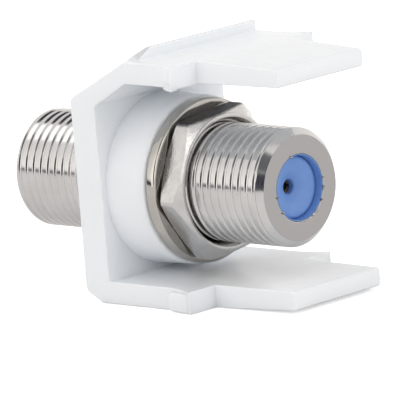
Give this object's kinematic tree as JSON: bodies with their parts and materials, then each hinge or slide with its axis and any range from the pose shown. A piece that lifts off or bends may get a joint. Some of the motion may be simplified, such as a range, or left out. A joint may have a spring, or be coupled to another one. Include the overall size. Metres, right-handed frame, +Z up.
{
  "type": "coaxial panel coupler insert",
  "caption": "White snap-in frame with two latch arms that carries a threaded female to female coaxial coupler, held by a washer and a hexagonal nut.",
  "frame": {"origin": "on the resting plane under the middle of the part", "axes": "+Y along the coupler's axis out of the rear port, +Z up from the lower arm to the upper latch arm, +X to the side"},
  "size_m": [0.0166, 0.03, 0.0203],
  "materials": {
    "white_plastic": "glossy white moulding",
    "nickel": "bright nickel plate over brass",
    "polished_nickel": "polished nickel plate",
    "blue_plastic": "satin blue moulding",
    "contact_metal": "plain spring bronze"
  },
  "bodies": {
    "insert": {"housing": "white_plastic", "coupler_body": "nickel", "rear_insulator": "blue_plastic", "front_insulator": "blue_plastic", "centre_contact": "contact_metal", "end_ring": "nickel"},
    "washer": {"washer": "polished_nickel"},
    "nut": {"panel_nut": "nickel"}
  },
  "joints": [
    {"name": "washer_slide", "type": "slide", "parent": "insert", "child": "washer", "axis": [0, 1, 0], "range_m": [0, 0.00714]},
    {"name": "nut_turn", "type": "hinge", "parent": "washer", "child": "nut", "pos_m": [0, 0.00345, 0.00886], "axis": [0, 1, 0], "range_deg": [0, 3240]}
  ],
  "couplings": [
    {"joint": "nut_turn", "follows": "washer_slide", "rad_per_m": 7915.8}
  ]
}
